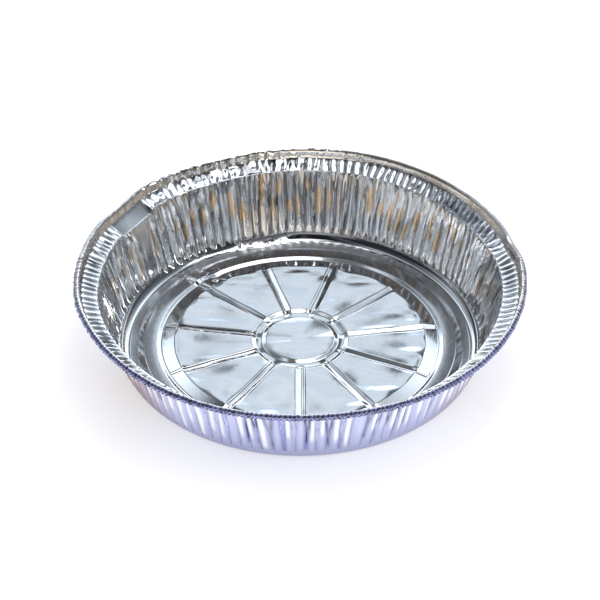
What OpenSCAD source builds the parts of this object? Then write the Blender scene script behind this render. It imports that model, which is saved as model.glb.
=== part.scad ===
// Round foil pie tin, pressed and pleated from one disc of aluminium foil, its edge rolled.
// Millimetres. Origin at the middle of the underside, +Z up, the front of the tin towards -Y.
// Azimuths are in degrees from the back (+Y), clockwise seen from above.

/* [Rim] */
// Outside diameter over the rolled edge
rim_d = 220; // [212:1:250]
// Height from the table to the top of the rolled edge
tin_h = 43.5; // [36:0.5:60]
// Diameter of the roll along the edge
roll_d = 2.9; // [2:0.1:3.6]
// Height of the upright lip that carries the roll, from crease to roll top
lip_h = 3.8; // [3.4:0.1:6]
// Outward lean of the lip
lip_lean = 0.9; // [0:0.1:1.5]
// Width of the crimped flange, seen from above
flange_w = 7.6; // [4:0.1:9]
// Rise of the flange from the wall to the crease under the lip
flange_rise = 3.9; // [1:0.1:6]
// Depth of the crimps across the flange
crimp_depth = 0.7; // [0:0.05:1]

/* [Wall] */
// Diameter of the wall's foot
foot_d = 176; // [160:1:180]
// Number of pleats round the wall
pleats = 110; // [80:1:120]
// Depth of a pleat, from ridge to furrow
pleat_depth = 2.1; // [0:0.1:2.4]
// Height above the table at which the pleats have their full depth
pleat_start = 5.5; // [4:0.1:8]
// Unevenness of the pleats, as a share of their depth
pleat_uneven = 0.5; // [0:0.05:0.7]
// Sideways lean of the pleats on their way up
pleat_lean = 1; // [0:0.1:1.2]
// Share of the pleats that fork before they reach the flange
fork_share = 0.65; // [0:0.05:1]

/* [Base] */
// Width of the flat ring that the tin stands on
rest_w = 6; // [3:0.1:7]
// Radius of the corner between that ring and the wall
corner_r = 1.2; // [0.5:0.1:2]
// Width of the step up from the standing ring
step_w = 3.2; // [1.5:0.1:4]
// Height of that step
step_h = 1.6; // [0.8:0.1:3]
// Width of the flat land inside the step
land_w = 6.3; // [4:0.1:10]
// Width of the ring channel inside the land
groove_w = 8.8; // [5:0.1:10]
// Depth of the ring channel and of the radial channels
groove_depth = 1.1; // [0.4:0.1:1.3]
// Number of radial channels
spokes = 11; // [6:1:12]
// Width of a radial channel at its bottom
spoke_w = 3.2; // [2:0.1:4]
// Width of the sloped side of a radial channel
spoke_side = 1.3; // [0.8:0.1:2]
// Diameter of the hub panel
hub_d = 34; // [26:1:44]
// Width of the ring channel round the hub
hub_groove_w = 7; // [5:0.1:9]

/* [Foil] */
// Thickness of the foil
foil = 0.1; // [0.08:0.01:0.15]

/* [Dents] */
// Flattened stretch of rim and wall: azimuth
flat_at = -58; // [-180:1:180]
// Flattened stretch: depth that it is pressed in
flat_in = 1.6; // [0:0.1:3]
// Kink of the rim: azimuth
kink_at = 78; // [-180:1:180]
// Kink: depth that the rim is bent in
kink_in = 1.2; // [0:0.1:2]
// Buckle along the wall's foot: azimuth
buckle_at = -15; // [-180:1:180]
// Buckle: distance that the foot is pushed in
buckle_in = 3; // [0:0.1:4]
// Crumple across the base's rings: azimuth
crumple_at = -45; // [-180:1:180]
// Crumple: height of its folds
crumple_h = 1; // [0:0.1:1.5]
// Base rings pushed towards the middle at the back: distance
push_in = 2; // [0:0.1:3]
// Unroundness of the rim, as a share of the real one's
unround = 1; // [0:0.1:1.5]

/* [Hidden] */

// Radii from the wall's foot inwards
rest_out = foot_d / 2 - corner_r;
rest_in = rest_out - rest_w;
step_in = rest_in - step_w;
land_in = step_in - land_w;
groove_mid = land_in - groove_w * 0.27;
panel_out = land_in - groove_w;
hub_r = hub_d / 2;
hub_out = hub_r + hub_groove_w;
hub_side = hub_groove_w * 0.3;
// Radii and heights from the rim inwards
roll_r = roll_d / 2;
roll_mid = (rim_d - foil) / 2 - roll_r;
roll_z = tin_h - foil / 2 - roll_r;
lip_top = roll_mid - roll_r;
crease_r = lip_top - lip_lean;
crease_z = tin_h - lip_h;
wall_top = crease_r - flange_w;
wall_top_z = crease_z - flange_rise;
// Heights of the foil's middle in the base
rest_z = foil / 2;
land_z = rest_z + step_h;
groove_z = land_z - groove_depth;

// Whole numbers of pleats and channels, and the points round a ring: on the wall, along the flange's inner
// edge, on the rim and the wall's foot, on the outer base, and inside the ring channel
pleat_n = round(pleats);
channel_n = round(spokes);
wall_n = 4 * pleat_n;
edge_n = 2 * pleat_n;
ring_n = pleat_n;
base_n = 7 * channel_n;
spoke_n = 6 * channel_n;

// Place on the wall's slope at a height, as a radius
function wall_r(z) = foot_d / 2 + (wall_top - foot_d / 2) * (z - rest_z) / (wall_top_z - rest_z);
// The roll's section, by the angle round it from its inner side over the top
function roll_point(turn) = [roll_mid - roll_r * cos(turn), roll_z + roll_r * sin(turn)];

// Section of the tin from the hub to the tucked edge:
// [radius, height, points round the ring, share of pleats, share of crimps, channel]
section = [
    [hub_r, land_z, spoke_n, 0, 0, 0],
    [hub_r + hub_side, groove_z, spoke_n, 0, 0, 0],
    [hub_out - hub_side, groove_z, spoke_n, 0, 0, 0],
    [hub_out, land_z, spoke_n, 0, 0, 1],
    [panel_out, land_z, spoke_n, 0, 0, 1],
    [groove_mid, groove_z, base_n, 0, 0, 0],
    [land_in, land_z, base_n, 0, 0, 0],
    [step_in, land_z, base_n, 0, 0, 0],
    [rest_in, rest_z, base_n, 0, 0, 0],
    [rest_out, rest_z, ring_n, 0, 0, 0],
    [wall_r(corner_r * 1.2), corner_r * 1.2, ring_n, 0, 0, 0],
    [wall_r(pleat_start), pleat_start, wall_n, 1, 0, 0],
    [wall_r(wall_top_z * 0.55), wall_top_z * 0.55, wall_n, 1, 0, 0],
    [wall_r(wall_top_z * 0.85), wall_top_z * 0.85, wall_n, 0.75, 0, 0],
    [wall_top, wall_top_z, edge_n, 0, 1, 0],
    [crease_r, crease_z, ring_n, 0, 0, 0],
    concat(roll_point(0), [ring_n, 0, 0, 0]),
    concat(roll_point(100), [ring_n, 0, 0, 0]),
    concat(roll_point(190), [ring_n, 0, 0, 0]),
    concat(roll_point(290), [ring_n, 0, 0, 0])
];
last = len(section) - 1;

// A fixed uneven share, from 0 to 1, of a pleat or crimp, so that every build is the same
function share(k, seed) = let (v = 437.585 * sin(77.31 * k + 41.7 * seed)) v - floor(v);

// Unit direction across the section at a ring, mitred so that the foil keeps its thickness
function unit(v) = v / norm(v);
function across(p, q) = let (d = unit(q - p)) [-d.y, d.x];
function flat_point(i) = [section[i][0], section[i][1]];
function mitre(i) =
    let (before = across(flat_point(max(i - 1, 0)), flat_point(max(i, 1))),
         after = across(flat_point(min(i, last - 1)), flat_point(min(i + 1, last))),
         middle = unit(before + after))
    middle / (middle * after);

// How near an azimuth lies to a dent, from 0 outside it to 1 at its middle
function turn_between(a, b) = let (d = (a - b) % 360) d > 180 ? d - 360 : d < -180 ? d + 360 : d;
function near(a, at, half) = let (d = abs(turn_between(a, at)) / half) d >= 1 ? 0 : pow(cos(90 * d), 2);
function ramp(x, low, high) = min(1, max(0, (x - low) / (high - low)));

// Each pleat is a ridge between two furrows, with a point at its furrow, one on each side of the ridge and
// one on it. The points beside it are the tops of the two ridges that it parts into above its fork.
fold_places = [0, 0.29, 0.5, 0.71];
function furrow_at(k) = (k + 0.36 * (share(k % pleat_n, 1) - 0.5)) * 360 / pleat_n;
function lean(a, t) = pleat_lean * t * (0.8 * sin(7 * a + 30) + 0.6 * sin(16 * a + 80) + 0.35 * sin(41 * a));
function pleat_turn(k, t) =
    let (place = fold_places[k % 4],
         a = furrow_at(floor(k / 4)) * (1 - place) + furrow_at(floor(k / 4) + 1) * place)
    a - lean(a - lean(a, t), t);
function fork_at(pleat) = share(pleat, 3) < fork_share ? 0.3 + 0.35 * share(pleat, 4) : 2;
function pleat_height(k, t) =
    let (pleat = floor(k / 4), off = abs(2 * fold_places[k % 4] - 1),
         parted = 0.42 * ramp(t, fork_at(pleat), fork_at(pleat) + 0.35),
         high = off >= parted ? pow((1 - off) / (1 - parted), 2) : 1 - 1.6 * parted)
    2 * high * (1 - pleat_uneven * share(pleat, 2)) - 0.7;

// Azimuth of a point of a ring, which may run past its last point. Each channel has six points: a
// panel's, its own four edges, which keep its width at every radius, and the next panel's.
channel_edges = [-spoke_w / 2 - spoke_side, -spoke_w / 2, spoke_w / 2, spoke_w / 2 + spoke_side];
function channel_turn(k, r) =
    k == 0 ? -120 / channel_n : k == 5 ? 120 / channel_n : asin(channel_edges[k - 1] / r);
function up_wall(i) = ramp(section[i][1], rest_z, wall_top_z);
function azimuth(i, k) =
    let (n = section[i][2])
    n == spoke_n ? (floor(k / 6) + 0.5) * 360 / channel_n + channel_turn(k % 6, section[i][0])
        : n == wall_n ? pleat_turn(k, up_wall(i))
        : (k + 0.5) * 360 / n;

// Depth of a pleat or crimp at a point of a ring. The flattened stretch of the wall has none.
function fold(i, k) =
    let (side = k % 2 == 0 ? 1 : -1, smooth = 1 - near(azimuth(i, k), flat_at + 1, 5),
         pleat = section[i][3] > 0 ? section[i][3] * pleat_depth * pleat_height(k, up_wall(i)) : 0,
         crimp = section[i][4] * crimp_depth * side * (1 - 0.5 * share(k, 5)))
    smooth * (pleat + crimp) / 2;

// The channels' bottoms lie below the panels between them
function channel_drop(i, k) = section[i][5] > 0 && (k % 6 == 2 || k % 6 == 3) ? groove_depth : 0;

// Stretches where the rim is out of round: [azimuth, half its width, distance outwards]
bulges = [[16, 34, 1], [-25, 20, -1.2], [-46, 14, 0.4], [64, 26, -0.6], [-82, 24, -0.8], [110, 30, -0.4],
          [150, 30, 0.5], [-160, 30, 0.4], [-120, 26, -0.5]];
function bulge(a, n = 0) = n == len(bulges) ? 0 : bulges[n][2] * near(a, bulges[n][0], bulges[n][1]) + bulge(a, n + 1);

// What the dents and the uneven rim do to a point: [outwards, up]
function dent(a, r, z) =
    let (high = ramp(z, 0, wall_top_z), rim = ramp(z, wall_top_z, crease_z),
         low = 1 - ramp(abs(z - 4), 0, 14), base = 1 - ramp(z, land_z, pleat_start))
    [unround * high * bulge(a)
        - flat_in * near(a, flat_at, 13) * high
        - kink_in * near(a, kink_at, 7) * rim
        - buckle_in * near(a, buckle_at, 17) * low * ramp(r, rest_in, rest_out)
        - push_in * near(a, -5, 60) * ramp(r, hub_out, panel_out) * (1 - ramp(r, rest_in, rest_out)),
     -0.8 * near(a, flat_at, 9) * rim
        - 0.9 * near(a, kink_at - 5, 6) * rim
        + crumple_h * base * near(a, crumple_at, 8) * ramp(r, panel_out, groove_mid)
            * (1 - ramp(r, rest_in, rest_out)) * (0.6 + 0.4 * sin(a * 40))];

// A point of the tin: side is -1 on the underside and outside, +1 on the top and inside
function point(i, k, side) =
    let (a = azimuth(i, k), n = mitre(i), p = flat_point(i) + n * (fold(i, k) + side * foil / 2),
         move = dent(a, section[i][0], section[i][1]), r = p.x + move.x)
    [r * sin(a), r * cos(a), p.y + move.y - channel_drop(i, k)];

// Triangles between rings i and i + 1. Rings of one count are paired point by point, and otherwise the
// strip goes on along whichever ring lags behind. Each ring's points are numbered from its first.
function lags(i, j, k) =
    let (n = section[i][2], m = section[i + 1][2])
    n == m ? j <= k : k == m || (j < n && azimuth(i, j + 1) < azimuth(i + 1, k + 1));
function strip(i, from, to, flip) =
    let (n = section[i][2], m = section[i + 1][2])
    [for (j = 0, k = 0, lag = lags(i, 0, 0); j + k < n + m;
          k = lag ? k : k + 1, j = lag ? j + 1 : j, lag = lags(i, j, k))
        let (a = from + j % n, b = to + k % m, c = lag ? from + (j + 1) % n : to + (k + 1) % m)
        flip ? [a, c, b] : [a, b, c]];
function total(i) = i < 0 ? 0 : total(i - 1) + section[i][2];

// The whole foil: a skin above, a skin below, and the cut edge between them
module foil_shell() {
    skin = total(last);
    starts = [for (i = [0 : last]) total(i - 1)];
    points = concat(
        [for (side = [1, -1]) for (i = [0 : last]) for (k = [0 : section[i][2] - 1]) point(i, k, side)],
        [[0, 0, land_z + foil / 2], [0, 0, land_z - foil / 2]]);
    hub = [for (s = [0, 1]) for (k = [0 : spoke_n - 1])
        s == 0 ? [2 * skin, k, (k + 1) % spoke_n] : [2 * skin + 1, skin + (k + 1) % spoke_n, skin + k]];
    skins = [for (s = [0, 1]) for (i = [0 : last - 1])
        each strip(i, s * skin + starts[i], s * skin + starts[i + 1], s == 1)];
    edge = [for (k = [0 : ring_n - 1])
        let (a = starts[last] + k, b = starts[last] + (k + 1) % ring_n)
        each [[a, a + skin, b], [b, a + skin, b + skin]]];
    polyhedron(points, concat(hub, skins, edge), 10);
}

module pie_tin() {
    color("#c9ccd1") foil_shell();
}

pie_tin();
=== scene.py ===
"""A round foil pie tin, pressed and pleated from one disc of aluminium foil, on a pale studio floor."""
import math

import bmesh
import bpy
import numpy as np
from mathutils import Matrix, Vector


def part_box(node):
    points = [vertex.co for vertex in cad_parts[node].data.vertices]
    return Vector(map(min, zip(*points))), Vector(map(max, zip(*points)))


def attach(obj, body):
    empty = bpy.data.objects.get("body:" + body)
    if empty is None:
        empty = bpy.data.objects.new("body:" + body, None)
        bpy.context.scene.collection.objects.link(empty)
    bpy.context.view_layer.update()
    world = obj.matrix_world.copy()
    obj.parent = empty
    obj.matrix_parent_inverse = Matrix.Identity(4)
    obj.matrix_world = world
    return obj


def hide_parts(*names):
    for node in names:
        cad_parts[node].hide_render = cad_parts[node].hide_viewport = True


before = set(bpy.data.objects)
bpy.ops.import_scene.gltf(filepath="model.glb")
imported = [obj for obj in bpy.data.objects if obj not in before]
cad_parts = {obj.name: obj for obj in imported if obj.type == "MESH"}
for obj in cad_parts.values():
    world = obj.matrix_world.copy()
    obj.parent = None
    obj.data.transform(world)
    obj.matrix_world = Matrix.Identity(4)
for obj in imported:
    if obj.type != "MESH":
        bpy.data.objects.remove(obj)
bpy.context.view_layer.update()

# Sizes of the tin in millimetres. Azimuths are in degrees from the back (+Y), clockwise from above.
MM = 0.001
TIN_H = (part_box("pie_tin")[1][2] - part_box("pie_tin")[0][2]) / MM
RIM_R = 109.95
FOIL = 0.1

# Rim: roll along the edge, upright lip under it, crimped flange with a narrow flat edge at the wall's top
ROLL_R = 1.45
LIP_H = 4.6
LIP_LEAN = 0.9
FLANGE_W = 7.6
FLANGE_RISE = 3.1
FLANGE_EDGE_W = 0.6
CRIMPS = 166
CRIMP_DEPTH = 0.8

# How high the lip is shaded at the back right, from the crease at its foot
LIP_SHADE_H = 1.4

# Knurls in rows along the roll. A row covers this much of the roll's turn, in degrees from its inner side
# over its top. The first starts below the inner side, and each is set on from the last by a share of a knurl.
KNURLS = 328
KNURL_DEPTH = 0.42
KNURL_TURN = 96.0
KNURL_START = -40.0
KNURL_SHIFT = 1 / 3

# Wall: pleats that start a little above the foot and fork on their way up
FOOT_R = 88.0
PLEATS = 110
PLEAT_DEPTH = 2.1
PLEAT_START = 3.4
PLEAT_UNEVEN = 0.5
FORK_SHARE = 0.65

# Base, from the wall's foot inwards
CORNER_R = 4.8
REST_W = 7.2
STEP_W = 3.2
STEP_H = 1.6
LAND_W = 6.3
GROOVE_W = 8.8
GROOVE_DEPTH = 0.95
CHANNELS = 11
CHANNEL_W = 4.4
CHANNEL_DEPTH = 0.75
PANEL_LIFT = 0.42
PANEL_LIFT_W = 15.0
HUB_R = 17.0
HUB_GROOVE_W = 7.0

# Columns of faces: round the wall and rim, three to a knurl, and round the base, 36 to a channel, of which 12
# lie in it
WALL_COLUMNS = 3 * KNURLS
CHANNEL_COLUMNS = 12
BASE_COLUMNS = 36 * CHANNELS

# Rings of points: turns round the foot and the roll in degrees, heights up the wall, and shares of the width
# over which the panels rise
FOOT_TURNS = (14, 30, 46, 60, 73)
ROLL_TURNS = (0, 36, 72, 108, 144, 180, 216, 270)
WALL_LEVELS = (4.1, 5.2, 7.0, 9.8, 13.0, 16.2, 19.4, 22.6, 25.6, 28.6, 31.4, 33.8)
PANEL_RISES = (0.3, 0.5, 0.65, 0.78, 0.9)

# Radii and heights of the foil's middle
REST_OUT = FOOT_R - 0.75 * CORNER_R
REST_IN = FOOT_R - REST_W
STEP_IN = REST_IN - STEP_W
LAND_IN = STEP_IN - LAND_W
GROOVE_MID = LAND_IN - GROOVE_W * 0.27
PANEL_OUT = LAND_IN - GROOVE_W
HUB_OUT = HUB_R + HUB_GROOVE_W
REST_Z = FOIL / 2
LAND_Z = REST_Z + STEP_H
GROOVE_Z = LAND_Z - GROOVE_DEPTH
ROLL_MID = RIM_R - ROLL_R
ROLL_Z = TIN_H - FOIL / 2 - ROLL_R
LIP_TOP = ROLL_MID - ROLL_R
CREASE_R = LIP_TOP - LIP_LEAN
CREASE_Z = TIN_H - LIP_H
EDGE_R = CREASE_R - FLANGE_W
EDGE_Z = CREASE_Z - FLANGE_RISE
WALL_SLOPE = math.atan2(EDGE_R - FOOT_R, EDGE_Z - REST_Z)
FLANGE_SLOPE = math.atan2(FLANGE_RISE, FLANGE_W)


def linear(hex_colour):
    """An sRGB hex colour as the linear RGBA that sockets take."""
    parts = [int(hex_colour[i:i + 2], 16) / 255 for i in (1, 3, 5)]
    return [p / 12.92 if p <= 0.04045 else ((p + 0.055) / 1.055) ** 2.4 for p in parts] + [1.0]


def add_node(tree, kind, place=(0, 0), links=None, **settings):
    """Adds a node: settings name its sockets' values or its own properties, links its inputs."""
    node = tree.nodes.new(kind)
    node.location = place
    for name, value in settings.items():
        if hasattr(node, name):
            setattr(node, name, value)
        else:
            node.inputs[name.replace("_", " ")].default_value = value
    for name, source in (links or {}).items():
        tree.links.new(source, node.inputs[name])
    return node


# Noise and falloffs for the foil's folds

def noise(seed, width, x, y, sharp=False):
    """Seeded heights from -1 to 1 on a unit grid that repeats every width across. Sharp joins them by flat
    facets with creases between, as crumpled foil has, and otherwise they blend smoothly."""
    grid = np.random.default_rng(seed).uniform(-1, 1, (64, width))
    i, j = np.floor(x).astype(int), np.floor(y).astype(int)
    u, v = x - i, y - j
    corner = [[grid[(j + dj) % 64, (i + di) % width] for di in (0, 1)] for dj in (0, 1)]
    if sharp:
        lower = corner[0][0] + u * (corner[0][1] - corner[0][0]) + v * (corner[1][1] - corner[0][1])
        upper = corner[0][0] + v * (corner[1][0] - corner[0][0]) + u * (corner[1][1] - corner[1][0])
        return np.where(u > v, lower, upper)
    u, v = u * u * (3 - 2 * u), v * v * (3 - 2 * v)
    lower, upper = (left * (1 - u) + right * u for left, right in corner)
    return lower * (1 - v) + upper * v


def ramp(x, low, high):
    """0 below low, 1 above high, and a smooth rise between."""
    t = np.clip((x - low) / (high - low), 0, 1)
    return t * t * (3 - 2 * t)


def near(a, at, half):
    """1 at an azimuth, falling smoothly to 0 at half degrees from it."""
    d = np.abs((a - at + 180) % 360 - 180) / half
    return np.where(d < 1, np.cos(np.clip(d, 0, 1) * math.pi / 2) ** 2, 0)


def plateau(a, at, half):
    """1 within half degrees of an azimuth, and 0 from 1.5 degrees further on."""
    return 1 - ramp(np.abs((a - at + 180) % 360 - 180), half, half + 1.5)


def uneven_steps(seed, count, spread):
    """Azimuths of count steps round the tin whose widths vary by the spread, from 0 to 360."""
    widths = 1 + np.random.default_rng(seed).uniform(-spread, spread, count)
    return np.concatenate([[0], np.cumsum(widths)]) * 360 / widths.sum()


# Folds of the wall and rim

def share(k, seed):
    """A fixed uneven share, from 0 to 1, of a pleat, by the solids' own rule, so that the pleats lie on
    theirs."""
    value = 437.585 * np.sin(np.radians(77.31 * k + 41.7 * seed))
    return value - np.floor(value)


def pleat_place(a, t):
    """Which pleat an azimuth lies in at a share t of the wall's height, and how far across it from 0 to 1."""
    lean = t * (0.8 * np.sin(np.radians(7 * a + 30)) + 0.6 * np.sin(np.radians(16 * a + 80))
                + 0.35 * np.sin(np.radians(41 * a)))
    cells = np.arange(-1, PLEATS + 2)
    furrows = (cells + 0.36 * (share(cells % PLEATS, 1) - 0.5)) * 360 / PLEATS
    phase = np.interp(a % 360 + lean, furrows, cells)
    return np.floor(phase).astype(int) % PLEATS, phase % 1


def parting(k, t):
    """How far apart the two halves of a pleat's forked ridge lie, as a share of half the pleat's width."""
    fork = np.where(share(k, 3) < FORK_SHARE, 0.3 + 0.35 * share(k, 4), 2)
    return 0.42 * np.clip((t - fork) / 0.35, 0, 1)


def pleats(a, t):
    """Height of the pleats over the wall, inwards, as a share of their depth. Seen from inside, each is a
    sharp ridge between two round furrows, and above its fork it parts in two. Some are flattened where the
    foil is crumpled."""
    k, u = pleat_place(a, t)
    crumpled = near(a, CRUMPLE_AT + 14, 38)
    depth = (1 - PLEAT_UNEVEN * share(k, 2)) * (1 - 0.65 * crumpled * ramp(share(k, 13), 0.45, 0.55))
    x = np.abs(2 * u - 1)
    parted = parting(k, t)
    beside = np.clip((x - parted) / (1 - parted), 0, 1)
    within = np.clip(1 - x / np.maximum(parted, 0.001), 0, 1)
    arch = np.where(x >= parted, (1 - beside) ** 2, 1 - 1.6 * parted * (2 * within - within ** 2))
    start = PLEAT_START / (EDGE_Z - REST_Z) * (1 + 0.4 * x ** 2) * (1 - 0.75 * near(a, CRUMPLE_AT + 8, 34))
    lasts = ramp(t, start, start + 0.06) * (1 - 0.4 * ramp(t, 0.7, 0.95)) * (1 - 0.8 * ramp(t, 0.95, 1.0))
    return (2 * arch * depth - 0.7) * lasts


def creases(a, t):
    """Height in millimetres of the fine slanting creases on the pleats, mostly near the top, and of broader
    facets high up and along the crumpled foot."""
    left = noise(11, 240, a / 1.5 + 2.5 * t, t * 3, sharp=True)
    right = noise(12, 240, a / 1.5 - 2.5 * t, t * 3, sharp=True)
    fine = 0.1 * (np.maximum(left, right) - 0.3) * (0.1 + 0.9 * ramp(t, 0.55, 0.85)) * ramp(t, 0.14, 0.3)
    facets = noise(31, 90, a / 4 + 2 * t, t * 3.5, sharp=True)
    facets = facets + noise(32, 120, a / 3 - 2 * t, t * 4.5, sharp=True)
    high = ramp(t, 0.4, 0.7) * (1 - ramp(t, 0.9, 1.0)) * (0.25 + 0.75 * near(a, -22, 75))
    low = (1 - ramp(t, 0.2, 0.4)) * ramp(t, 0.0, 0.06) * near(a, CRUMPLE_AT + 14, 36)
    return fine + 0.5 * facets * (high + low)


def painted_tan_reflection(a, t):
    """Share of the painted tan reflection: a patch along the floor of most furrows, each at a height of its
    own.
    """
    k, u = pleat_place(a, t)
    side = np.where(u < 0.5, k, (k + 1) % PLEATS)
    middle = 0.36 + 0.46 * share(side, 6)
    reach = 0.12 + 0.2 * share(side, 7)
    along = np.clip(1 - ((t - middle) / reach) ** 2, 0, 1)
    across = np.abs(2 * u - 1)
    uneven = 0.25 * noise(33, 240, a / 1.5, t * 9)
    return ramp(along * across + uneven, 0.3, 0.5) * ramp(share(side, 8), 0.25, 0.5)


def ledge(a):
    """Share of the ledge along the buckled foot, in a long part and a short one."""
    return np.clip(plateau(a, LEDGE_AT, 5.5) + 1.3 * near(a, LEDGE_AT + 10, 5), 0, 1)


def shaded_foot(a, r, z):
    """Share of the painted shade, a dark band round the wall's foot at the back, under the pleats' lower
    ends.
    """
    low = ramp(r, FOOT_R - 2.2, FOOT_R - 0.6) * (1 - ramp(z, 3.2, 5.0))
    broken = 1 - 0.8 * near(a, CRUMPLE_AT + 4, 26)
    return low * broken * (1 - ledge(a) * (z < 2.6)) * ramp(np.cos(np.radians(a + 5)), 0.2, 0.7)


def painted_crease_shade(a, t):
    """Share of the painted shade, dark lines along some of the grooves that the ridges leave in the outer
    skin.
    """
    k, u = pleat_place(a, t)
    beside = 1 - np.clip(np.abs(np.abs(2 * u - 1) - parting(k, t)) / 0.26, 0, 1)
    low = 0.15 + 0.35 * share(k, 11)
    return beside * ramp(t, low, low + 0.12) * (1 - ramp(t, 0.85, 0.97)) * ramp(share(k, 12), 0.4, 0.7)


def painted_crest_highlight(a, t):
    """Share of the painted highlight, a bright streak down the back of each furrow, where the outer skin
    bulges furthest.
    """
    k, u = pleat_place(a, t)
    side = np.where(u < 0.5, k, (k + 1) % PLEATS)
    reach = 0.15 + 0.35 * share(side, 10)
    along = ramp(t, reach, reach + 0.12) * (1 - ramp(t, 0.9, 0.99))
    across = np.abs(2 * u - 1) + 0.12 * noise(34, 240, a / 1.5, t * 6)
    return along * ramp(across, 0.56, 0.74) * ramp(share(side, 9), 0.1, 0.4)


def crimps(a, s):
    """The flange's crimps at a share s of its width, ridges across it that are crumpled at the back: their
    height in millimetres, and the share of painted shade that a place gets for lying deep in a fold."""
    lean = 0.7 * noise(15, 90, a / 4, s * 1.5) + 2.2 * s * near(a, 52, 30)
    phase = np.interp((a + lean) % 360, uneven_steps(14, CRIMPS, 0.25), np.arange(CRIMPS + 1))
    ridge = np.arcsin(0.97 * np.cos(2 * math.pi * phase)) / math.asin(0.97)
    chaos = np.maximum(near(a, -22, 75), 0.75 * near(a, 55, 30))
    crumple = noise(16, 150, a / 2.4 + 2 * s, s * 3, sharp=True)
    crumple = crumple + 0.6 * noise(17, 300, a / 1.2, s * 5, sharp=True)
    height = ridge * (1 - 0.7 * chaos) + 1.3 * chaos * crumple
    height = height * (1 - plateau(a, FLAT_AT, 6.5)) * (1 - 0.4 * near(a, KINK_AT, 7))
    between = ramp(s, 0.06, 0.2) * (1 - 0.5 * ramp(s, 0.8, 1.0))
    depth = CRIMP_DEPTH / 2 * (1 + 0.5 * near(a, -122, 30))
    # The painted shade reaches further out of the valleys at the back right
    dark = near(a, 56, 26)
    return depth * height * between, ramp(-height, 0.1 - 0.8 * dark, 0.9 - 0.7 * dark) * between


# Stretches where the rim is out of round: azimuth, half the stretch, distance outwards
BULGES = [(16, 34, 1.0), (-25, 20, -1.2), (-46, 14, 0.4), (64, 26, -0.6), (-82, 24, -0.8), (110, 30, -0.4),
          (150, 30, 0.5), (-160, 30, 0.4), (-120, 26, -0.5)]

# Azimuths of the flat facet at the left, the kink at the right, the buckled foot, its ledge and the crumpled
# foil beside them, and the radius from which the ledge rises
FLAT_AT = -58
KINK_AT = 78
BUCKLE_AT = -15
LEDGE_AT = -17
CRUMPLE_AT = -46
LEDGE_R = 84.5


def dents(a, r, z):
    """What the dents do: distance outwards and distance up, in millimetres."""
    high = np.clip(z / EDGE_Z, 0, 1)
    rim = ramp(r, EDGE_R - 1, CREASE_R) * ramp(z, EDGE_Z - 2, EDGE_Z)
    low = 1 - np.clip(np.abs(z - 4) / 14, 0, 1)
    outer = ramp(r, REST_IN, REST_OUT)

    # Out of round, and pushed in at the flat facet, the kink, the buckled foot and the base's back
    out = sum(size * near(a, at, half) for at, half, size in BULGES) * high
    out = out - 1.1 * near(a, FLAT_AT, 16) * high - 1.2 * near(a, KINK_AT, 7) * rim
    out = out - 3.0 * near(a, BUCKLE_AT, 17) * low * outer
    out = out - 2.0 * near(a, -5, 60) * ramp(r, HUB_OUT, PANEL_OUT) * (1 - outer)
    up = -0.8 * near(a, FLAT_AT, 9) * rim - 0.9 * near(a, KINK_AT - 5, 6) * rim

    # The flange hangs lower at its inner edge along the front, on the flat facet and at the back right
    hinge = np.clip((CREASE_R - r) / FLANGE_W, 0, 1) * ramp(z, EDGE_Z - 8, EDGE_Z)
    up = up - hinge * (1.8 * near(a, 180, 80) + 1.9 * plateau(a, FLAT_AT, 6.5) + 0.8 * near(a, 52, 28))

    # A ledge along the buckled foot, and a fold across the base's rings with smaller ones beside it
    slope = 0.33 + 0.12 * noise(35, 240, a / 1.5, 0 * a, sharp=True)
    up = up + ledge(a) * (r > LEDGE_R) * (z < 2.6) * (REST_Z + slope * (r - LEDGE_R) - z)
    base = ramp(r, PANEL_OUT - 3, GROOVE_MID) * (1 - outer)
    off = a - CRUMPLE_AT + 2.5 * noise(21, 120, a / 3, r / 5)
    fold = np.clip(1 - np.abs(off) / 5, 0, 1) - 0.7 * np.clip(1 - np.abs(off - 8) / 4, 0, 1)
    small = noise(23, 120, a / 3, r / 4, sharp=True) * near(a, CRUMPLE_AT, 13)
    up = up + base * (1.0 * fold + 0.16 * small)
    return out, up


def channels(a, r):
    """How far the radial channels lie below the panels, as a share of their depth. They are shallow rounded
    Vs, most of them deepest to one side."""
    turn = (a / 360 * CHANNELS) % 1 - 0.5
    across = np.sin(turn * 2 * math.pi / CHANNELS) * r / (CHANNEL_W / 2)
    deepest = -0.5 * np.cos(np.radians(2 * (a - turn * 360 / CHANNELS + 16)))
    side = np.where(across < deepest, (deepest - across) / (1 + deepest), (across - deepest) / (1 - deepest))
    return np.clip(1 - side ** 1.2, 0, 1) * (r > HUB_R + 2) * ramp(GROOVE_MID - r, -0.5, 3)


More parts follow.
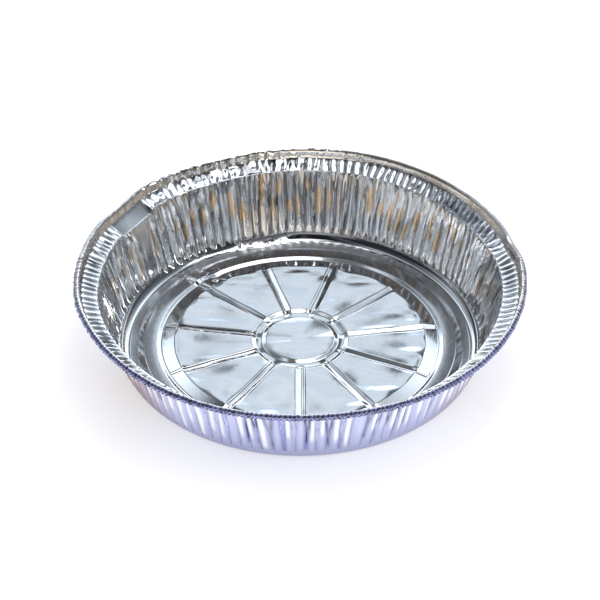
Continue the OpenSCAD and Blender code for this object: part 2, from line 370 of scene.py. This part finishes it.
def knurls(a, r, z, rolled):
    """The roll's relief in millimetres, the turn in radians at which a place lies round it, and the shares of
    the painted shade in the hollows between its knurls and along its underside, and of its outer side."""
    on_roll = rolled & (np.hypot(r - ROLL_MID, z - ROLL_Z) < ROLL_R + 0.05)
    turn = np.where(on_roll, np.degrees(np.arctan2(z - ROLL_Z, ROLL_MID - r)) % 360, 0)
    row = (turn - KNURL_START) / KNURL_TURN
    step = a / 360 * KNURLS + np.floor(row) * KNURL_SHIFT + 0.25 * noise(18, 240, a / 1.5, row)
    size = 0.8 + 0.3 * noise(19, 240, a / 1.5, row)
    knurl = np.cos(2 * math.pi * step) * np.abs(np.sin(math.pi * row)) * size
    outer_from = 60 + 80 * near(a, 0, 100)
    outer = rolled * ramp(turn, outer_from, outer_from + 60)
    # Painted shade in the knurls' hollows and along the roll's underside, on its outer side
    knurl_shade = on_roll * np.maximum(1 - ramp(knurl, -0.3, 0.2), ramp(turn, 185, 205)) * outer
    shown = np.maximum(outer, 0.25 + 0.35 * near(a, 95, 50))
    proud = on_roll * KNURL_DEPTH * knurl * shown + 0.12 * rolled * noise(20, 180, a / 2, row)
    crushed = rolled * 0.4 * noise(22, 400, a / 0.9, 1.2 * row, sharp=True) * (0.2 + near(a, -34, 60))
    return proud, crushed, np.radians(turn), knurl_shade, outer


def fold_foil(tin):
    """Presses the pleats, crimps, knurls, channels and dents into the smooth turned dish."""
    count = len(tin.data.vertices)
    co = np.empty(count * 3)
    tin.data.vertices.foreach_get("co", co)
    x, y, z = co.reshape(-1, 3).T / MM
    r, a = np.hypot(x, y), np.degrees(np.arctan2(x, y))

    wall = (r > REST_OUT) & (r <= EDGE_R + 0.01)
    flange = (r > EDGE_R + 0.01) & (r <= CREASE_R + 0.01) & (z < CREASE_Z + 0.01)
    rolled = r > CREASE_R + 0.01
    base = r <= REST_OUT

    # The wall's pleats and creases, and the flange's crimps with painted shade in their valleys
    t = np.clip((z - REST_Z) / (EDGE_Z - REST_Z), 0, 1)
    smooth = 1 - near(a, FLAT_AT + 1, 5)
    fold = pleats(a, t) * smooth
    inwards = wall * (PLEAT_DEPTH / 2 * fold + creases(a, t) * smooth)
    s = (r - EDGE_R) / FLANGE_W
    crimp, valley = crimps(a, s)
    lift = flange * crimp
    # Painted shade in the crimps' valleys, and along the flange's outer edge at the back
    valley = valley * (1 - ramp(s, 0.8, 1.0)) + 0.9 * ramp(s, 0.8, 1.0) * near(a, 0, 75)

    # The roll's knurls. Along the left and the front left, the crimps run on up the lip
    proud, crushed, turn, knurl_shade, outer_roll = knurls(a, r, z, rolled)
    on_lip = rolled * near(a, -95, 45) * (1 - ramp(z, ROLL_Z - 0.5, ROLL_Z + 1.2))
    lip_crimp, lip_valley = crimps(a, np.full(count, 0.7))
    crushed = crushed - 0.9 * on_lip * lip_crimp

    # The base's waves and channels, and the dents of the whole tin
    wavy = base * 0.28 * noise(25, 64, x / 14 + 32, y / 6 + 32) * (1 - ramp(r, 60, PANEL_OUT))
    sunk = base * CHANNEL_DEPTH * channels(a, r) * (z > GROOVE_Z + 0.01)
    out, up = dents(a, r, z)
    new_r = (r + out - inwards * math.cos(WALL_SLOPE) - lift * math.sin(FLANGE_SLOPE)
             - (proud + crushed) * np.cos(turn))
    new_z = (z + up + inwards * math.sin(WALL_SLOPE) + lift * math.cos(FLANGE_SLOPE)
             + proud * np.sin(turn) - sunk + wavy)
    new_z = np.maximum(new_z, REST_Z)
    across, along = np.sin(np.radians(a)), np.cos(np.radians(a))
    moved = np.stack([new_r * across, new_r * along, new_z], 1) * MM
    tin.data.vertices.foreach_set("co", moved.ravel())

    # Where the dull places and each layer of colour lie on the foil
    # Painted shade on the lip's lower part at the back right
    low_lip = rolled * (1 - ramp(z, CREASE_Z + LIP_SHADE_H, CREASE_Z + LIP_SHADE_H + 1)) * near(a, 35, 60)
    bright_lip = near(a, -38, 32)
    # Share of the painted cool reflection on the roll's outer side, less at the sides
    cool = 1 - 0.85 * (near(a, -82, 42) + near(a, 82, 42))
    on_facet = wall * near(a, FLAT_AT + 1, 5) * ramp(t, 0.35, 0.6)
    on_ring = base * (0.45 * ramp(r, LAND_IN, LAND_IN + 1) + 0.45 * ramp(r, REST_IN - 1, REST_IN))
    dull = outer_roll + on_ring * (0.3 + 0.7 * near(a, -5, 80)) + on_facet
    # Painted reflection: tan patches along the inner wall's furrows
    layers = {"tan_reflection": wall * painted_tan_reflection(a, t) * smooth, "dull": dull,
              "warm": (rolled - outer_roll) * (1 - on_lip) * (1 - low_lip) * (1 - 0.7 * bright_lip),
              # Painted reflection: a cool tint on the roll's outer side, from the shaded floor
              "painted_cool_cast": outer_roll * cool, "knurl_shade": knurl_shade,
              # Painted shade: greyer up the back of the wall
              "grey": wall * near(a, -3, 54) * ramp(t, 0.0, 0.5),
              # Painted shade: dark in the crimps' valleys, the lip's crimps and the lip's lower part
              "fold": np.maximum(flange * valley + on_lip * lip_valley, 0.9 * low_lip),
              # Painted shade: a dark band round the wall's foot at the back
              "foot": (wall | base) * shaded_foot(a, r, z),
              # Painted highlight: white streaks down the outer skin's bulges
              # Painted shade: dark lines along the outer skin's grooves
              "crest_highlight": wall * painted_crest_highlight(a, t), "crease": wall * painted_crease_shade(a, t),
              # Painted reflection: tan towards the sides of the front
              "tan_side_reflection": np.maximum(near(a, -114, 32), 0.5 * near(a, 116, 28)) * (1 - rolled)}
    for name, amount in layers.items():
        tin.data.attributes.new(name, "FLOAT", "POINT").data.foreach_set("value", amount.astype(np.float32))
    tin.data.update()


# Turned dish

def bevelled(corners, width):
    """A section through its corners, each but the ends taken off by two points at the width from it."""
    points = [corners[0]]
    for before, corner, after in zip(corners, corners[1:], corners[2:]):
        for other in (before, after):
            part = min(width / math.dist(corner, other), 0.4)
            points.append(tuple(c + (o - c) * part for c, o in zip(corner, other)))
    return points + [corners[-1]]


def divided(points, longest):
    """The same section with its long stretches cut up evenly."""
    fine = [points[0]]
    for start, end in zip(points, points[1:]):
        parts = max(1, round(math.dist(start, end) / longest))
        fine += [tuple(a + (b - a) * i / parts for a, b in zip(start, end)) for i in range(1, parts + 1)]
    return fine


def base_section():
    """Section of the base from its middle to the standing ring."""
    hub = [(0, LAND_Z), (HUB_R, LAND_Z), (HUB_R + 2, GROOVE_Z), (HUB_OUT - 2, GROOVE_Z), (HUB_OUT, LAND_Z),
           (PANEL_OUT - PANEL_LIFT_W, LAND_Z)]
    rises = [(PANEL_OUT - PANEL_LIFT_W * (1 - part), LAND_Z + PANEL_LIFT * part ** 2.2)
             for part in PANEL_RISES]
    rings = [rises[-1], (PANEL_OUT, LAND_Z + PANEL_LIFT), (GROOVE_MID - 0.4, GROOVE_Z),
             (GROOVE_MID + 0.5, GROOVE_Z), (LAND_IN, LAND_Z), (STEP_IN, LAND_Z), (REST_IN, REST_Z),
             (REST_OUT - 1.2, REST_Z)]
    return divided(bevelled(hub, 0.35) + rises[:-1] + bevelled(rings, 0.35), 5.5)


def rim_section():
    """Section of the wall, flange, lip and roll, from the standing ring to the tucked edge."""
    points = [(REST_OUT - 0.4, REST_Z), (REST_OUT, REST_Z)]
    for turn in FOOT_TURNS:
        angle = math.radians(turn)
        points.append((REST_OUT + CORNER_R * math.sin(angle), REST_Z + CORNER_R * (1 - math.cos(angle))))
    rise = (EDGE_R - FOOT_R) / (EDGE_Z - REST_Z)
    points += [(FOOT_R + rise * (z - REST_Z), z) for z in WALL_LEVELS]
    points += [(EDGE_R - 0.05, EDGE_Z - 0.25), (EDGE_R + 0.1, EDGE_Z)]
    points += [(EDGE_R + FLANGE_EDGE_W, EDGE_Z + 0.04)]
    points += divided([(EDGE_R + FLANGE_EDGE_W + 0.4, EDGE_Z + 0.16), (CREASE_R - 0.2, CREASE_Z - 0.1)], 1.9)
    points += [(CREASE_R + 0.1, CREASE_Z + 0.2), (CREASE_R + 0.45, CREASE_Z + LIP_SHADE_H)]
    for turn in ROLL_TURNS:
        angle = math.radians(turn)
        points.append((ROLL_MID - ROLL_R * math.cos(angle), ROLL_Z + ROLL_R * math.sin(angle)))
    return points


def turn_section(name, points, columns):
    """Draws a section by extruding a vertex, spins it round the tin's axis and closes its seam."""
    bpy.ops.object.select_all(action="DESELECT")
    bpy.ops.mesh.primitive_plane_add(size=MM)
    dish = bpy.context.object
    dish.name = dish.data.name = name
    bpy.ops.object.mode_set(mode="EDIT")
    bpy.ops.mesh.select_all(action="SELECT")
    bpy.ops.mesh.merge(type="CENTER")
    bpy.ops.transform.translate(value=(0, points[0][0] * MM, points[0][1] * MM))
    for (r0, z0), (r1, z1) in zip(points, points[1:]):
        step = (0, (r1 - r0) * MM, (z1 - z0) * MM)
        bpy.ops.mesh.extrude_region_move(TRANSFORM_OT_translate={"value": step})
    bpy.ops.mesh.select_all(action="SELECT")
    bpy.ops.mesh.spin(steps=columns, angle=2 * math.pi, center=(0, 0, 0), axis=(0, 0, 1))
    bpy.ops.mesh.select_all(action="SELECT")
    bpy.ops.mesh.remove_doubles(threshold=0.01 * MM)
    bpy.ops.object.mode_set(mode="OBJECT")
    return dish


def gather_columns(base):
    """Slides the base's columns round, so that each channel has its own at one distance at every radius."""
    co = np.empty(len(base.data.vertices) * 3)
    base.data.vertices.foreach_get("co", co)
    x, y, z = co.reshape(-1, 3).T
    r, a = np.hypot(x, y), np.degrees(np.arctan2(x, y))
    per = BASE_COLUMNS // CHANNELS
    column = np.rint(a / 360 * BASE_COLUMNS)
    sector = np.floor(column / per)
    place = column - sector * per
    half = per / 2
    reach = (CHANNEL_W / 2 + 0.2) * MM
    side = np.sign(place - half)
    index = np.abs(place - half)
    inner = CHANNEL_COLUMNS / 2
    edge = np.degrees(np.arcsin(np.clip(reach / np.maximum(r, reach * 1.2), 0, 1)))
    rest = 180 / CHANNELS - edge
    slid = np.where(index <= inner, edge * index / inner, edge + rest * (index - inner) / (half - inner))
    turned = (sector + 0.5) * 360 / CHANNELS + side * slid
    fixed = (r < HUB_R * MM * 0.9)
    a = np.radians(np.where(fixed, a, turned))
    moved = np.stack([r * np.sin(a), r * np.cos(a), z], 1)
    base.data.vertices.foreach_set("co", moved.ravel())
    base.data.update()


def make_tin():
    """The tin: base and rim turned apart, bridged along the standing ring, folded, and given the foil's
    thickness."""
    base = turn_section("tin_base", base_section(), BASE_COLUMNS)
    gather_columns(base)
    tin = turn_section("pie_tin_foil", rim_section(), WALL_COLUMNS)
    bpy.ops.object.select_all(action="DESELECT")
    base.select_set(True)
    tin.select_set(True)
    bpy.context.view_layer.objects.active = tin
    bpy.ops.object.join()
    bpy.ops.object.mode_set(mode="EDIT")
    bpy.ops.mesh.select_mode(type="EDGE")
    bpy.ops.mesh.select_all(action="DESELECT")
    mesh = bmesh.from_edit_mesh(tin.data)
    for edge in mesh.edges:
        middle = (edge.verts[0].co + edge.verts[1].co) / 2
        edge.select = edge.is_boundary and math.hypot(middle.x, middle.y) < FOOT_R * MM
    bmesh.update_edit_mesh(tin.data)
    bpy.ops.mesh.bridge_edge_loops()
    bpy.ops.mesh.select_all(action="SELECT")
    bpy.ops.mesh.normals_make_consistent(inside=False)
    mesh = bmesh.from_edit_mesh(tin.data)
    middle = min(mesh.faces, key=lambda face: face.calc_center_median().length)
    if middle.normal.z < 0:
        bpy.ops.mesh.flip_normals()
    bpy.ops.object.mode_set(mode="OBJECT")
    fold_foil(tin)

    tin.data.materials.clear()
    tin.data.materials.append(foil_inside())
    tin.data.materials.append(foil_outside())
    wall = tin.modifiers.new("foil thickness", "SOLIDIFY")
    wall.thickness = FOIL * MM
    wall.offset = 0
    wall.material_offset = 1
    bpy.ops.object.modifier_apply(modifier=wall.name)
    bpy.ops.object.shade_smooth_by_angle(angle=math.radians(42))
    flats = tin.modifiers.new("flat where the foil is flat", "WEIGHTED_NORMAL")
    flats.keep_sharp = True
    flats.weight = 60
    bpy.ops.object.modifier_apply(modifier=flats.name)
    return tin


# Finishes

# Rolling lines and crinkles of the foil: how far apart and how deep they are, in millimetres. Real rolling
# lines are finer, and these are as coarse as it takes for them to show.
LINE_GAP = 0.625
LINE_DEPTH = 0.005
CRINKLE_GAP = 2.5
CRINKLE_DEPTH = 0.012

# Roughness of the bright foil, and what a dull place adds to it
BRIGHT_ROUGH = (0.06, 0.15)
DULL_ROUGH = 0.3


def faded(tree, place, covered, amount, base, over):
    """A base colour, or a colour from before, with another laid over it where and as far as it is covered."""
    beside = (place[0] - 160, place[1] + 120)
    strength = add_node(tree, "ShaderNodeMath", beside, {0: covered}, operation="MULTIPLY")
    strength.inputs[1].default_value = amount
    mix = add_node(tree, "ShaderNodeMix", place, {"Factor": strength.outputs["Value"]}, data_type="RGBA")
    if isinstance(base, str):
        mix.inputs["A"].default_value = linear(base)
    else:
        tree.links.new(base, mix.inputs["A"])
    mix.inputs["B"].default_value = linear(over)
    return mix.outputs["Result"]


def foil_material(name, bright, layers):
    """Rolled aluminium foil: a bright metal with fine rolling lines and faint crinkles between the pressed
    folds, which break its reflections up. It is duller on the roll's outer side, the base's outer rings and
    the flat facet. Each layer lays a colour over it by an attribute and an amount."""
    material = bpy.data.materials.new(name)
    material.use_nodes = True
    tree = material.node_tree
    tree.nodes.clear()
    colour = bright
    for step, (attribute, over, amount) in enumerate(layers):
        covered = add_node(tree, "ShaderNodeAttribute", (-1600 + 200 * step, 500), attribute_name=attribute)
        colour = faded(tree, (-1400 + 200 * step, 300), covered.outputs["Fac"], amount, colour, over)

    # The rolling lines run along X
    place = add_node(tree, "ShaderNodeTexCoord", (-1600, 0)).outputs["Object"]
    lines_at = add_node(tree, "ShaderNodeMapping", (-1400, -200), {"Vector": place}, Scale=(0.04, 1, 1))
    lines = add_node(tree, "ShaderNodeTexNoise", (-1200, -200), {"Vector": lines_at.outputs["Vector"]},
                     Scale=1 / (LINE_GAP * MM), Detail=2.0)
    crinkle = add_node(tree, "ShaderNodeTexNoise", (-1200, -450), {"Vector": place},
                       Scale=1 / (CRINKLE_GAP * MM), Detail=3.0, Roughness=0.6)
    fine = add_node(tree, "ShaderNodeBump", (-600, -200), {"Height": lines.outputs["Fac"]},
                    Strength=1.0, Distance=LINE_DEPTH * MM)
    rough = add_node(tree, "ShaderNodeBump", (-400, -300),
                     {"Height": crinkle.outputs["Fac"], "Normal": fine.outputs["Normal"]},
                     Strength=1.0, Distance=CRINKLE_DEPTH * MM)
    gloss = add_node(tree, "ShaderNodeMapRange", (-800, 0), {"Value": crinkle.outputs["Fac"]})
    gloss.inputs["To Min"].default_value = BRIGHT_ROUGH[0]
    gloss.inputs["To Max"].default_value = BRIGHT_ROUGH[1]
    dull_at = add_node(tree, "ShaderNodeAttribute", (-800, 160), attribute_name="dull").outputs["Fac"]
    duller = add_node(tree, "ShaderNodeMath", (-600, 100), {0: dull_at}, operation="MULTIPLY")
    duller.inputs[1].default_value = DULL_ROUGH
    sheen = add_node(tree, "ShaderNodeMath", (-400, 60),
                     {0: gloss.outputs["Result"], 1: duller.outputs["Value"]}, operation="ADD")

    surface = add_node(tree, "ShaderNodeBsdfPrincipled", (0, 0),
                       {"Base Color": colour, "Roughness": sheen.outputs["Value"],
                        "Normal": rough.outputs["Normal"]}, Metallic=1.0)
    add_node(tree, "ShaderNodeOutputMaterial", (300, 0), {"Surface": surface.outputs["BSDF"]})
    return material


# Laid over both skins: warm on the lip and the roll's inner side, a painted cool reflection of the shaded
# floor on its outer side, and painted shade in the hollows between the knurls there and along the roll's
# underside
ROLL_LAYERS = [("warm", "#fbf8f2", 0.9), ("painted_cool_cast", "#adb1e4", 1.0), ("knurl_shade", "#20212c", 0.96)]


def foil_inside():
    """The tin's inner skin, clear silver. It is greyer up the back of the wall, a painted shade, with tan
    patches in the furrows, a painted reflection, and dark in the crimps' valleys and along the foot, painted
    shade."""
    # Painted shade on the back wall, in the folds and at the foot, and a painted tan reflection in the
    # furrows
    return foil_material("bright_rolled_foil_inside", "#f8fafc",
                         [("grey", "#7e8186", 0.66), ("tan_reflection", "#e6c69a", 0.8), ("fold", "#5a5d66", 0.75),
                          ("foot", "#4a566a", 0.75)] + ROLL_LAYERS)


def foil_outside():
    """The tin's outer skin, with a painted cool tint, the reflection of the shade that it stands in, and a
    painted tan reflection towards the sides of the front. Painted highlights run down its bulges, and painted
    shade along its grooves."""
    # The lavender base colour is a painted reflection of the shaded floor that the tin stands on
    return foil_material("bright_rolled_foil_outside", "#c6cae8",
                         [("tan_side_reflection", "#9c7c70", 0.85), ("crest_highlight", "#ffffff", 0.95),
                          ("crease", "#3c3e52", 0.85)] + ROLL_LAYERS)


# Floor, light and camera

# The floor's colour, its radius in metres, and the light that lifts it, seen straight and in reflections
PALE_FLOOR = "#f2f2f4"
FLOOR_R = 4.0
FLOOR_LIFT = 0.42
MIRROR_LIFT = 0.62

# Between these distances from the tin's middle the mirrored floor comes out of the shade under the rim
SHADE_IN = 80.0
SHADE_OUT = 104.0

# Colours of the studio by the sine of the height that a reflection looks up to, and how far back it looks
# where the side behind the camera starts and ends giving way to the one behind the tin
BEHIND_TIN = [(0.0, "#d0d2d6"), (0.4, "#d8dce2"), (0.5, "#d4dce6"), (0.57, "#b4c6d8"), (0.595, "#f0f8ff"),
              (0.615, "#b8c8da"), (0.635, "#f4faff"), (0.66, "#c0d0e2"), (0.68, "#e0ecf8"), (0.82, "#8e949c"),
              (0.9, "#a0a6ae"), (0.96, "#e4ecf4")]
BEHIND_CAMERA = [(0.0, "#c8c0b6"), (0.28, "#b9b0a6"), (0.4, "#969290"), (0.58, "#525459"), (0.76, "#646468"),
                 (0.84, "#6e6e72"), (0.95, "#56555a")]
BACK_FROM = -0.1
BACK_TO = 0.35

# How bright it is across the studio, by the share of a reflection that looks right, low down and high up, and
# the heights between which low gives way to high
ACROSS_LOW = [(-0.85, 0.3), (-0.65, 0.24), (-0.55, 0.4), (-0.48, 1.6), (-0.2, 2.3), (0.2, 2.3), (0.45, 1.6),
              (0.55, 0.7), (0.66, 0.24), (0.85, 0.3)]
ACROSS_HIGH = [(-0.85, 0.3), (-0.62, 0.8), (-0.53, 0.5), (-0.38, 0.35), (-0.34, 1.6), (-0.28, 1.6),
               (-0.24, 0.2), (-0.063, 0.2), (-0.045, 1.0), (0.04, 1.0), (0.055, 0.12), (0.16, 0.12),
               (0.19, 1.6), (0.41, 1.5), (0.44, 0.35), (0.48, 0.35), (0.51, 0.75), (0.66, 0.22),
               (0.85, 0.32)]
HIGH_FROM = 0.48
HIGH_TO = 0.57

# The even light that the studio casts on matt things
ROOM_LIGHT = "#dededf"


def seen_directly(tree):
    """1 for what the camera sees straight, in a reflection or through glass, and 0 for the light that falls
    on things."""
    path = add_node(tree, "ShaderNodeLightPath", (-900, -300))
    glossy = add_node(tree, "ShaderNodeMath", (-700, -300), operation="MAXIMUM")
    tree.links.new(path.outputs["Is Camera Ray"], glossy.inputs[0])
    tree.links.new(path.outputs["Is Glossy Ray"], glossy.inputs[1])
    clear = add_node(tree, "ShaderNodeMath", (-540, -300), operation="MAXIMUM")
    tree.links.new(glossy.outputs["Value"], clear.inputs[0])
    tree.links.new(path.outputs["Is Transmission Ray"], clear.inputs[1])
    return clear.outputs["Value"]


def floor_material():
    """Matt white card. What is seen of it is lifted to white, and the tin's soft shadow stays on it."""
    material = bpy.data.materials.new("matt_white_card")
    material.use_nodes = True
    tree = material.node_tree
    tree.nodes.clear()
    card = add_node(tree, "ShaderNodeBsdfDiffuse", (-200, 100), Color=linear(PALE_FLOOR))
    place = add_node(tree, "ShaderNodeTexCoord", (-900, -600)).outputs["Object"]
    away = add_node(tree, "ShaderNodeVectorMath", (-740, -600), {0: place}, operation="LENGTH")
    open_floor = add_node(tree, "ShaderNodeMapRange", (-580, -600), {"Value": away.outputs["Value"]},
                          interpolation_type="SMOOTHSTEP")
    open_floor.inputs["From Min"].default_value = SHADE_IN * MM
    open_floor.inputs["From Max"].default_value = SHADE_OUT * MM
    open_floor.inputs["To Max"].default_value = MIRROR_LIFT
    mirrored = add_node(tree, "ShaderNodeLightPath", (-580, -900)).outputs["Is Glossy Ray"]
    amount = add_node(tree, "ShaderNodeMix", (-400, -600),
                      {"Factor": mirrored, "B": open_floor.outputs["Result"]}, A=FLOOR_LIFT)
    lifted = add_node(tree, "ShaderNodeMath", (-380, -200),
                      {0: seen_directly(tree), 1: amount.outputs["Result"]}, operation="MULTIPLY")
    lift = add_node(tree, "ShaderNodeEmission", (-200, -100), {"Strength": lifted.outputs["Value"]})
    both = add_node(tree, "ShaderNodeAddShader", (0, 0))
    tree.links.new(card.outputs["BSDF"], both.inputs[0])
    tree.links.new(lift.outputs["Emission"], both.inputs[1])
    add_node(tree, "ShaderNodeOutputMaterial", (200, 0), {"Surface": both.outputs["Shader"]})
    return material


def make_floor():
    """A wide disc of card under the tin."""
    bpy.ops.object.select_all(action="DESELECT")
    bpy.ops.mesh.primitive_circle_add(vertices=96, radius=FLOOR_R, fill_type="NGON")
    floor = bpy.context.object
    floor.name = "floor"
    floor.data.materials.append(floor_material())


def set_stops(elements, stops):
    """Gives a ramp its stops: place and colour."""
    for element, (position, colour) in zip(elements, (stops[0], stops[-1])):
        element.position, element.color = position, colour
    for position, colour in stops[1:-1]:
        elements.new(position).color = colour


def sky_band(tree, height, place, stops):
    """A colour of the studio by height."""
    band = add_node(tree, "ShaderNodeValToRGB", place, {"Fac": height})
    set_stops(band.color_ramp.elements, [(position, linear(colour)) for position, colour in stops])
    return band.outputs["Color"]


def make_world():
    """White seen straight or through glass. In reflections it is a soft studio: pale blue-grey behind the
    tin, warm and pale low down behind the camera and dark high up there, with lit panels across it."""
    world = bpy.data.worlds.new("studio")
    bpy.context.scene.world = world
    world.use_nodes = True
    tree = world.node_tree
    tree.nodes.clear()
    direction = add_node(tree, "ShaderNodeTexCoord", (-1300, 0)).outputs["Generated"]
    parts = add_node(tree, "ShaderNodeSeparateXYZ", (-1100, 0), {"Vector": direction}).outputs
    behind = add_node(tree, "ShaderNodeMapRange", (-700, 200), {"Value": parts["Y"]},
                      interpolation_type="SMOOTHSTEP")
    behind.inputs["From Min"].default_value = BACK_FROM
    behind.inputs["From Max"].default_value = BACK_TO
    away = sky_band(tree, parts["Z"], (-800, 0), BEHIND_TIN)
    toward = sky_band(tree, parts["Z"], (-800, -300), BEHIND_CAMERA)
    sky = add_node(tree, "ShaderNodeMix", (-400, 0), {"Factor": behind.outputs["Result"]}, data_type="RGBA")
    tree.links.new(toward, sky.inputs["A"])
    tree.links.new(away, sky.inputs["B"])
    across = add_node(tree, "ShaderNodeMapRange", (-900, 450), {"Value": parts["X"]})
    across.inputs["From Min"].default_value = -1.0
    high = add_node(tree, "ShaderNodeMapRange", (-900, 750), {"Value": parts["Z"]})
    high.inputs["From Min"].default_value = HIGH_FROM
    high.inputs["From Max"].default_value = HIGH_TO
    levels = add_node(tree, "ShaderNodeMix", (-400, 450), {"Factor": high.outputs["Result"]},
                      data_type="RGBA")
    for side, stops in (("A", ACROSS_LOW), ("B", ACROSS_HIGH)):
        level = add_node(tree, "ShaderNodeValToRGB", (-700, 450), {"Fac": across.outputs["Result"]})
        set_stops(level.color_ramp.elements, [(0.5 + 0.5 * x, (v, v, v, 1)) for x, v in stops])
        tree.links.new(level.outputs["Color"], levels.inputs[side])
    path = add_node(tree, "ShaderNodeLightPath", (-700, 700))
    mirrored = add_node(tree, "ShaderNodeBackground", (-200, -100),
                        {"Color": sky.outputs["Result"], "Strength": levels.outputs["Result"]})
    plain = add_node(tree, "ShaderNodeBackground", (-200, -300), Color=linear(ROOM_LIGHT), Strength=1.0)
    glossy = add_node(tree, "ShaderNodeMixShader", (0, -100), {"Fac": path.outputs["Is Glossy Ray"]})
    tree.links.new(plain.outputs["Background"], glossy.inputs[1])
    tree.links.new(mirrored.outputs["Background"], glossy.inputs[2])
    white = add_node(tree, "ShaderNodeBackground", (-200, 100), Color=(1, 1, 1, 1), Strength=1.0)
    clear = add_node(tree, "ShaderNodeMath", (-400, 500), operation="MAXIMUM")
    tree.links.new(path.outputs["Is Camera Ray"], clear.inputs[0])
    tree.links.new(path.outputs["Is Transmission Ray"], clear.inputs[1])
    mix = add_node(tree, "ShaderNodeMixShader", (200, 0), {"Fac": clear.outputs["Value"]})
    tree.links.new(glossy.outputs["Shader"], mix.inputs[1])
    tree.links.new(white.outputs["Background"], mix.inputs[2])
    add_node(tree, "ShaderNodeOutputWorld", (400, 0), {"Surface": mix.outputs["Shader"]})


def softbox(name, place, size, power):
    """A white area lamp that faces the tin and isn't seen itself."""
    lamp = bpy.data.lights.new(name, "AREA")
    lamp.shape = "RECTANGLE"
    lamp.size, lamp.size_y = size
    lamp.energy = power
    holder = bpy.data.objects.new(name, lamp)
    bpy.context.collection.objects.link(holder)
    holder.location = place
    holder.rotation_euler = (-Vector(place)).to_track_quat("-Z", "Y").to_euler()
    holder.visible_camera = False


# The camera stands where the photograph was taken from, measured from the middle of the rim
VIEW_DISTANCE = 0.9828
VIEW_ELEVATION = 36.226
FOCAL_PIXELS = 2026.8
RIM_CENTRE_ROW = 270.19
IMAGE_PIXELS = 600
SENSOR = 36.0


def make_camera():
    """A long lens, aimed a little below the rim's middle so that the rim sits above the image's."""
    data = bpy.data.cameras.new("camera")
    camera = bpy.data.objects.new("camera", data)
    bpy.context.collection.objects.link(camera)
    data.sensor_width = SENSOR
    data.lens = FOCAL_PIXELS / IMAGE_PIXELS * SENSOR
    rise = math.radians(VIEW_ELEVATION)
    camera.location = (0, -VIEW_DISTANCE * math.cos(rise), TIN_H * MM + VIEW_DISTANCE * math.sin(rise))
    lower = math.atan((IMAGE_PIXELS / 2 - RIM_CENTRE_ROW) / FOCAL_PIXELS)
    camera.rotation_euler = (math.pi / 2 - rise - lower, 0, 0)
    data.clip_start, data.clip_end = 0.05, 20
    bpy.context.scene.camera = camera


bpy.context.scene.view_settings.view_transform = "Standard"
make_camera()
make_floor()
make_world()
softbox("overhead softbox", (0.2, 0.45, 1.8), (0.55, 1.1), 3.4)
softbox("right softbox", (1.6, -0.3, 0.9), (0.3, 0.9), 4)
tin = make_tin()
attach(tin, "root")
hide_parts("pie_tin")
